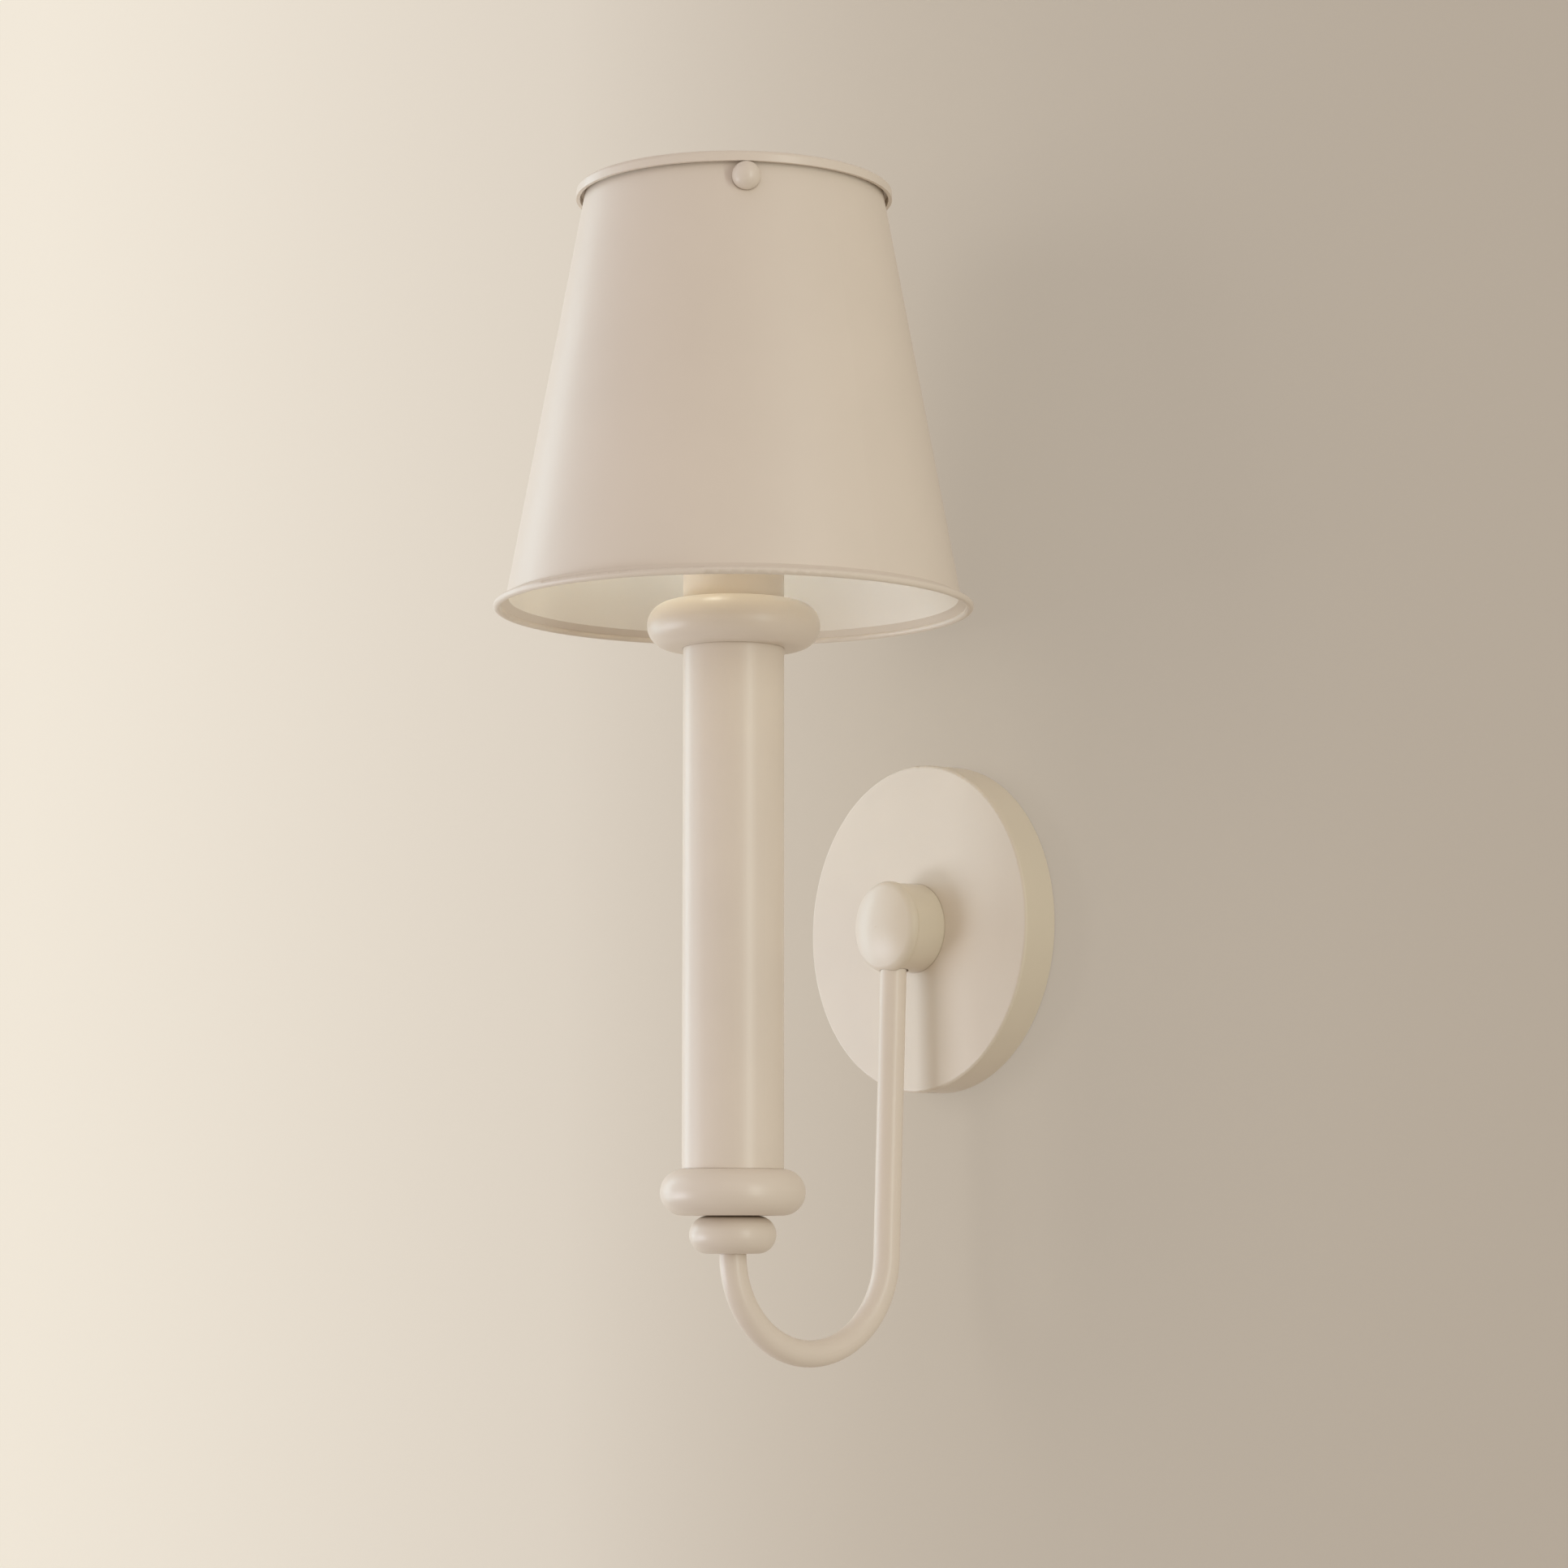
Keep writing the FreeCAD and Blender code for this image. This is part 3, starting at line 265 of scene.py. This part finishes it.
CREAM = (0.74, 0.655, 0.56)
WARM_WHITE = (0.80, 0.78, 0.72)
OPAL = (0.90, 0.88, 0.83)
ZINC = (0.62, 0.63, 0.65)
ALUMINIUM = (0.72, 0.72, 0.73)
BRASS = (0.78, 0.58, 0.30)
BROWN = (0.10, 0.04, 0.015)
BLUE = (0.02, 0.07, 0.32)
GREEN = (0.06, 0.22, 0.03)
YELLOW = (0.75, 0.62, 0.05)
AMBER = (0.62, 0.48, 0.28)
ZINC_ROUGH = 0.34

FINISHES = {
    "cream_paint": paint("cream paint", CREAM, rough=0.36, shine=0.46),
    "shade_paint": paint("shade paint", CREAM, rough=0.42, tone=0.015, shine=0.5),
    "fitter_paint": paint("fitter paint", CREAM, rough=0.40),
    "zinc_steel": metal("zinc plated steel", ZINC, ZINC_ROUGH),
    "plug_aluminium": metal("turned aluminium", ALUMINIUM, rough=0.3),
    "holder_moulding": plastic("lampholder moulding", WARM_WHITE, rough=0.5),
    "contact_brass": metal("contact brass", BRASS, rough=0.28),
    "bulb_metal": metal("bulb cap metal", ALUMINIUM, rough=0.25),
    "bulb_glass": frosted_glass("opal bulb glass", OPAL),
    "live_sleeving": plastic("brown sleeving", BROWN, rough=0.42),
    "neutral_sleeving": plastic("blue sleeving", BLUE, rough=0.42),
    "earth_sleeving": striped_sleeving("striped sleeving", GREEN, YELLOW),
    "connector_plastic": plastic("connector plastic", AMBER, rough=0.3),
}

SLOT_OF = {part["node"]: part["material_slot"] for part in frame["record"]["subparts"]}


def dress(thing, finish):
    """Puts one finish on a whole object."""
    thing.data.materials.clear()
    thing.data.materials.append(finish)


for node_name, thing in frame["nodes"].items():
    dress(thing, FINISHES[SLOT_OF[node_name]])

ROD_PITCH = 1.0 * MM
THREADED_UP = threaded("threaded rod", ZINC, ZINC_ROUGH, "Z", ROD_PITCH)
THREADED_OUT = threaded("threaded tube", ZINC, ZINC_ROUGH, "Y", ROD_PITCH)
dress(frame["nodes"]["threaded_rod"], THREADED_UP)
dress(frame["nodes"]["hub_threaded_tube"], THREADED_OUT)

# ---------------------------------------------------------------- added detail


def about_axis(radius, turn, height):
    """The point at a radius from the column's axis, a turn round it and a height."""
    return AXIS + Vector((radius * math.cos(turn), radius * math.sin(turn), height))


def add_piece(name, points, faces, body, slot):
    """Adds a mesh with smooth faces that rides on a body and takes its slot's finish."""
    mesh = bpy.data.meshes.new(name)
    mesh.from_pydata(points, [], faces)
    mesh.validate()
    mesh.polygons.foreach_set("use_smooth", [True] * len(mesh.polygons))
    thing = bpy.data.objects.new(name, mesh)
    bpy.context.scene.collection.objects.link(thing)
    dress(thing, FINISHES[slot])
    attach(thing, body)


def strip_faces(rings, width, closed):
    """Quads between rings of points; a closed strip joins its last ring to its first."""
    faces = []
    for ring in range(rings if closed else rings - 1):
        here = ring * width
        after = (ring + 1) % rings * width
        for step in range(width):
            beside = (step + 1) % width
            faces.append((here + step, here + beside, after + beside, after + step))
    return faces


NUT_LOW, NUT_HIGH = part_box("shade_ring_nut")
NUT_RADIUS = (NUT_HIGH.x - NUT_LOW.x) / 2
GRIP_RIBS = 36
GRIP_HEIGHT = 0.4 * MM
GRIP_FOOT = 2.0 * MM
GRIP_LIP = 0.5 * MM
GRIP_SUNK = 0.06 * MM
GRIP_STEPS = 8


def ring_nut_grip():
    """Rounded ribs round the ring nut, for the fingers."""
    low = NUT_LOW.z + GRIP_FOOT
    high = NUT_HIGH.z - GRIP_LIP
    inside = NUT_RADIUS - GRIP_SUNK
    count = GRIP_RIBS * GRIP_STEPS
    points = []
    for step in range(count):
        turn = 2 * math.pi * step / count
        rise = GRIP_HEIGHT * math.sin(math.pi * (step % GRIP_STEPS) / GRIP_STEPS)
        outside = NUT_RADIUS + rise
        ease = min(rise, GRIP_HEIGHT / 2)
        section = [(inside, low), (outside, low + ease), (outside, high - ease), (inside, high)]
        for radius, height in section:
            points.append(about_axis(radius, turn, height))
    faces = strip_faces(count, len(section), closed=True)
    add_piece("ring_nut_grip", points, faces, "ring_nut", SLOT_OF["shade_ring_nut"])


# A ridge's section: shares of its rise, and of half its width. Its edges are sunk.
RIDGE_SECTION = [(-0.10, -1.0), (0.35, -0.5), (1.0, 0.0), (0.35, 0.5), (-0.10, 1.0)]
RIDGE_HALF_SHARE = 0.42
RIDGE_STEPS = 48
RIDGE_RUN_OUT = RIDGE_STEPS / 3


def thread_ridge(name, radius, ridge, pitch, low, high, body, slot):
    """A rolled screw thread: one rounded ridge that winds up the column's axis and runs out."""
    count = int((high - low) / pitch * RIDGE_STEPS)
    half = RIDGE_HALF_SHARE * pitch
    points = []
    for step in range(count + 1):
        turn = 2 * math.pi * step / RIDGE_STEPS
        centre = low + pitch * step / RIDGE_STEPS
        rise = ridge * min(step / RIDGE_RUN_OUT, (count - step) / RIDGE_RUN_OUT, 1.0)
        for rise_share, half_share in RIDGE_SECTION:
            height = centre + half * half_share
            points.append(about_axis(radius + rise * rise_share, turn, height))
    width = len(RIDGE_SECTION)
    faces = strip_faces(count + 1, width, closed=False)
    faces.append(tuple(reversed(range(width))))
    faces.append(tuple(range(width * count, width * (count + 1))))
    add_piece(name, points, faces, body, slot)


# The cap's thread keeps this far from the cap's foot and head. The holder's thread starts a length
# below the top of the lampholder's body and keeps its own distance from that top.
CAP_THREAD_FOOT = 5.0 * MM
CAP_THREAD_HEAD = 4.5 * MM
CAP_THREAD_RISE = 0.36 * MM
CAP_THREAD_PITCH = 2.82 * MM
HOLDER_THREAD_LENGTH = 15.0 * MM
HOLDER_THREAD_HEAD = 1.8 * MM
HOLDER_THREAD_RISE = 0.14 * MM
HOLDER_THREAD_PITCH = 2.5 * MM


def bulb_cap_thread():
    """The rolled thread on the lamp's cap."""
    low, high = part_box("bulb_cap")
    thread_ridge(
        "bulb_cap_thread",
        radius=(high.x - low.x) / 2,
        ridge=CAP_THREAD_RISE,
        pitch=CAP_THREAD_PITCH,
        low=low.z + CAP_THREAD_FOOT,
        high=high.z - CAP_THREAD_HEAD,
        body="bulb",
        slot=SLOT_OF["bulb_cap"],
    )


def holder_thread():
    """The moulded thread on the lampholder's skirt, which the ring nut runs on."""
    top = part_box("lampholder_body")[1].z
    foot = top - HOLDER_THREAD_LENGTH
    points = [vertex.co for vertex in frame["nodes"]["lampholder_body"].data.vertices]
    thread_ridge(
        "holder_thread",
        radius=max((point.xy - AXIS.xy).length for point in points if point.z > foot),
        ridge=HOLDER_THREAD_RISE,
        pitch=HOLDER_THREAD_PITCH,
        low=foot,
        high=top - HOLDER_THREAD_HEAD,
        body="light_frame",
        slot=SLOT_OF["lampholder_body"],
    )


ring_nut_grip()
bulb_cap_thread()
holder_thread()

# ---------------------------------------------------------------- stage

STAGE_TONE = 0.985
STIPPLE_SCALE = 420.0
STIPPLE_STRENGTH = 0.12


def stage_material(name, colour, rough, relief):
    """Flat wall or floor paint with a soft stipple."""
    made, nodes, links, shader = material(name)
    clouds = object_noise(nodes, links, scale=3.0, detail=4.0, rough=0.6)
    low = shaded(colour, STAGE_TONE)
    links.new(ramp(nodes, links, clouds, low, colour), shader.inputs["Base Color"])
    shader.inputs["Roughness"].default_value = rough
    stipple = object_noise(nodes, links, STIPPLE_SCALE, detail=3.0, rough=0.6)
    bump(nodes, links, shader, stipple, STIPPLE_STRENGTH, relief)
    return made, nodes, links, shader


def stage_sheet(name, corners, finish):
    """A flat four-cornered surface that faces the side from which its corners run anticlockwise."""
    mesh = bpy.data.meshes.new(name)
    mesh.from_pydata([Vector(corner) for corner in corners], [], [range(len(corners))])
    thing = bpy.data.objects.new(name, mesh)
    bpy.context.scene.collection.objects.link(thing)
    dress(thing, finish)
    return thing


# The wall's sheet lies a hair behind the plane y = 0, clear of the plate's back.
WALL_Y = 0.4 * MM
WALL_HALF = 2.6
WALL_TOP = 2.4
WALL_ROUGH = 0.9
WALL_RELIEF = 0.3 * MM
FLOOR_Z = -0.62
FLOOR_HALF_WIDTH = 2 * WALL_HALF
FLOOR_HALF_DEPTH = 4.5
FLOOR_PAINT = (0.74, 0.71, 0.66)
FLOOR_ROUGH = 0.8
FLOOR_RELIEF = 0.2 * MM

# Painted light: the wall's tone goes from bright on the left to dim on the right, standing in for
# the light's fall-off across it. Tones at distances along X.
WALL_LIGHT_FALLOFF_TONES = [
    (-0.70, (0.789, 0.747, 0.655)),
    (-0.24, (0.637, 0.587, 0.512)),
    (-0.07, (0.498, 0.443, 0.369)),
    (0.06, (0.452, 0.403, 0.337)),
    (0.30, (0.411, 0.360, 0.295)),
]
WALL_LEFT, WALL_LEFT_LIT_TONE = WALL_LIGHT_FALLOFF_TONES[0]
WALL_RIGHT = WALL_LIGHT_FALLOFF_TONES[-1][0]
# Painted light: the wall glows this much, though it is no lamp.
WALL_PAINTED_GLOW = 0.75
WALL_PAINT_SHARE = 0.45
ANY_POSITION = 0.5


def wall_material():
    """Wall paint with painted light: its tone runs along X from lit to dim, and it partly glows
    though it is no lamp, so that shadows on it stay faint.
    """
    made, nodes, links, shader = stage_material(
        "wall paint with painted light", WALL_LEFT_LIT_TONE, WALL_ROUGH, WALL_RELIEF
    )
    place = nodes.new("ShaderNodeTexCoord")
    axes = nodes.new("ShaderNodeSeparateXYZ")
    links.new(place.outputs["Object"], axes.inputs["Vector"])
    along = nodes.new("ShaderNodeMapRange")
    along.inputs["From Min"].default_value = WALL_LEFT
    along.inputs["From Max"].default_value = WALL_RIGHT
    links.new(axes.outputs["X"], along.inputs["Value"])
    painted_light_tones = nodes.new("ShaderNodeValToRGB")
    painted_light_tones.color_ramp.interpolation = "B_SPLINE"
    # A new ramp has two stops. The rest are added, and then every stop gets its place.
    for _ in WALL_LIGHT_FALLOFF_TONES[2:]:
        painted_light_tones.color_ramp.elements.new(ANY_POSITION)
    for stop, (distance, tone) in zip(painted_light_tones.color_ramp.elements, WALL_LIGHT_FALLOFF_TONES):
        stop.position = (distance - WALL_LEFT) / (WALL_RIGHT - WALL_LEFT)
        stop.color = (*tone, 1)
    links.new(along.outputs["Result"], painted_light_tones.inputs["Fac"])
    weaker = nodes.new("ShaderNodeVectorMath")
    weaker.operation = "SCALE"
    weaker.inputs["Scale"].default_value = WALL_PAINT_SHARE
    links.new(painted_light_tones.outputs["Color"], weaker.inputs["Vector"])
    links.new(weaker.outputs["Vector"], shader.inputs["Base Color"])
    # The painted glow: the wall's tones also glow, so that cast shadows on it stay faint.
    links.new(painted_light_tones.outputs["Color"], shader.inputs["Emission Color"])
    shader.inputs["Emission Strength"].default_value = WALL_PAINTED_GLOW
    # From behind, the wall can be looked through.
    side = nodes.new("ShaderNodeNewGeometry")
    clear = nodes.new("ShaderNodeBsdfTransparent")
    mix = nodes.new("ShaderNodeMixShader")
    links.new(side.outputs["Backfacing"], mix.inputs["Fac"])
    links.new(shader.outputs["BSDF"], mix.inputs[1])
    links.new(clear.outputs["BSDF"], mix.inputs[2])
    links.new(mix.outputs["Shader"], nodes["Material Output"].inputs["Surface"])
    return made


wall = stage_sheet(
    "wall",
    [
        (-WALL_HALF, WALL_Y, FLOOR_Z),
        (WALL_HALF, WALL_Y, FLOOR_Z),
        (WALL_HALF, WALL_Y, WALL_TOP),
        (-WALL_HALF, WALL_Y, WALL_TOP),
    ],
    wall_material(),
)
stage_sheet(
    "floor",
    [
        (-FLOOR_HALF_WIDTH, -FLOOR_HALF_DEPTH, FLOOR_Z),
        (FLOOR_HALF_WIDTH, -FLOOR_HALF_DEPTH, FLOOR_Z),
        (FLOOR_HALF_WIDTH, FLOOR_HALF_DEPTH, FLOOR_Z),
        (-FLOOR_HALF_WIDTH, FLOOR_HALF_DEPTH, FLOOR_Z),
    ],
    stage_material("floor paint", FLOOR_PAINT, FLOOR_ROUGH, FLOOR_RELIEF)[0],
)

# ---------------------------------------------------------------- camera

CAMERA_PLACE = Vector((1.13782, -0.99662, -0.11258))
CAMERA_AZIMUTH = math.radians(51.02)
CAMERA_PITCH = math.radians(6.3)
FOCAL_PIXELS = 5060.0
FRAME_PIXELS = 1932.0
SENSOR_MILLIMETRES = 36.0
CLIP_START = 0.05
CLIP_END = 20.0

camera_data = bpy.data.cameras.new("camera")
camera_data.sensor_width = SENSOR_MILLIMETRES
camera_data.lens = FOCAL_PIXELS / FRAME_PIXELS * SENSOR_MILLIMETRES
camera_data.clip_start = CLIP_START
camera_data.clip_end = CLIP_END
camera = bpy.data.objects.new("camera", camera_data)
bpy.context.scene.collection.objects.link(camera)
look = Vector(
    (
        -math.sin(CAMERA_AZIMUTH) * math.cos(CAMERA_PITCH),
        math.cos(CAMERA_AZIMUTH) * math.cos(CAMERA_PITCH),
        math.sin(CAMERA_PITCH),
    )
)
camera.location = CAMERA_PLACE
camera.rotation_mode = "QUATERNION"
camera.rotation_quaternion = look.to_track_quat("-Z", "Y")
bpy.context.scene.camera = camera

# ---------------------------------------------------------------- lights


def lit(name, things):
    """A collection of the things that a light falls on."""
    group = bpy.data.collections.new(name)
    for each in things:
        group.objects.link(each)
    return group


WALL_SIDE = ["wall_plate", "hub_collar", "hub_cap", "rim_screws"]
SHADE_SIDE = [
    "shade",
    "top_ring",
    "shade_fitter",
    "lampholder_sleeve",
    "upper_flange",
    "column_tube",
]
nodes_off_wall = [each for node, each in frame["nodes"].items() if node not in WALL_SIDE]
whole_light = lit("whole light", frame["nodes"].values())
column_side = lit("column side", nodes_off_wall)
wall_side = lit("wall side", [frame["nodes"][node] for node in WALL_SIDE])
shade_side = lit("shade side", [frame["nodes"][node] for node in SHADE_SIDE])
wall_alone = lit("wall alone", [wall])


def add_light(name, kind, place, mixture, falls_on):
    """A light at a place; its mixture is watts by channel. With no group it falls on everything."""
    power = max(mixture)
    data = bpy.data.lights.new(name, kind)
    data.energy = power
    data.color = tuple(channel / power for channel in mixture)
    thing = bpy.data.objects.new(name, data)
    thing.location = place
    bpy.context.scene.collection.objects.link(thing)
    if falls_on:
        thing.light_linking.receiver_collection = falls_on
    return thing


MIDDLE = (0, -0.08, 0.05)


def area_light(name, place, size, mixture, falls_on=None, aim=MIDDLE):
    """A soft rectangular light, turned to its aim."""
    thing = add_light(name, "AREA", place, mixture, falls_on)
    thing.data.shape = "RECTANGLE"
    thing.data.size, thing.data.size_y = size
    thing.rotation_mode = "QUATERNION"
    thing.rotation_quaternion = (Vector(aim) - Vector(place)).to_track_quat("-Z", "Y")


area_light(
    "key",
    place=(-1.15, -1.25, 0.35),
    size=(0.9, 1.3),
    mixture=(2.51, 2.99, 3.17),
    falls_on=whole_light,
)
area_light(
    "strip",
    place=(-1.3, -0.45, 0.15),
    size=(0.35, 1.3),
    mixture=(3.38, 4.38, 4.76),
    falls_on=whole_light,
)
area_light(
    "low left",
    place=(-0.9, -1.1, -0.5),
    size=(0.8, 0.6),
    mixture=(8.18, 8.80, 9.74),
    falls_on=whole_light,
)
area_light(
    "right",
    place=(1.7, -0.4, 0.2),
    size=(0.7, 1.3),
    mixture=(5.45, 6.31, 4.43),
    falls_on=wall_side,
)
area_light(
    "edge",
    place=(1.5, -0.13, 0.1),
    size=(0.2, 1.3),
    mixture=(6.68, 7.15, 6.70),
    falls_on=column_side,
    aim=(0, -0.1, 0.05),
)
area_light(
    "rear",
    place=(-1.2, 1.6, 0.9),
    size=(1.4, 1.4),
    mixture=(10.0, 9.7, 9.3),
)
area_light(
    "wall wash",
    place=(-1.7, -1.9, 0.5),
    size=(1.3, 1.5),
    mixture=(16.0, 15.5, 14.5),
    falls_on=wall_alone,
    aim=(0.1, 0, 0.0),
)

# Daylight that the shade's mouth lets in is bounced about inside it by two small lights, each at
# its own turn round the column's axis.
BOUNCE_RADIUS = 30.0 * MM
BOUNCE_HEIGHT = 185.0 * MM
BOUNCE_SOFTNESS = 8.0 * MM
BOUNCES = [(150, (0.0502, 0.0730, 0.0909)), (270, (0.0677, 0.0665, 0.0541))]
for degrees, mixture in BOUNCES:
    place = about_axis(BOUNCE_RADIUS, math.radians(degrees), BOUNCE_HEIGHT)
    bounce = add_light(f"bounce {degrees}", "POINT", place, mixture, shade_side)
    bounce.data.shadow_soft_size = BOUNCE_SOFTNESS

SKY_COLOUR = (1.0, 0.896, 0.852)
SKY_STRENGTH = 0.661

world = bpy.data.worlds.new("soft studio")
bpy.context.scene.world = world
world.use_nodes = True
sky = world.node_tree.nodes["Background"]
sky.inputs["Color"].default_value = (*SKY_COLOUR, 1)
sky.inputs["Strength"].default_value = SKY_STRENGTH

view = bpy.context.scene.view_settings
view.view_transform = "Standard"
view.look = "None"
view.exposure = 0.0
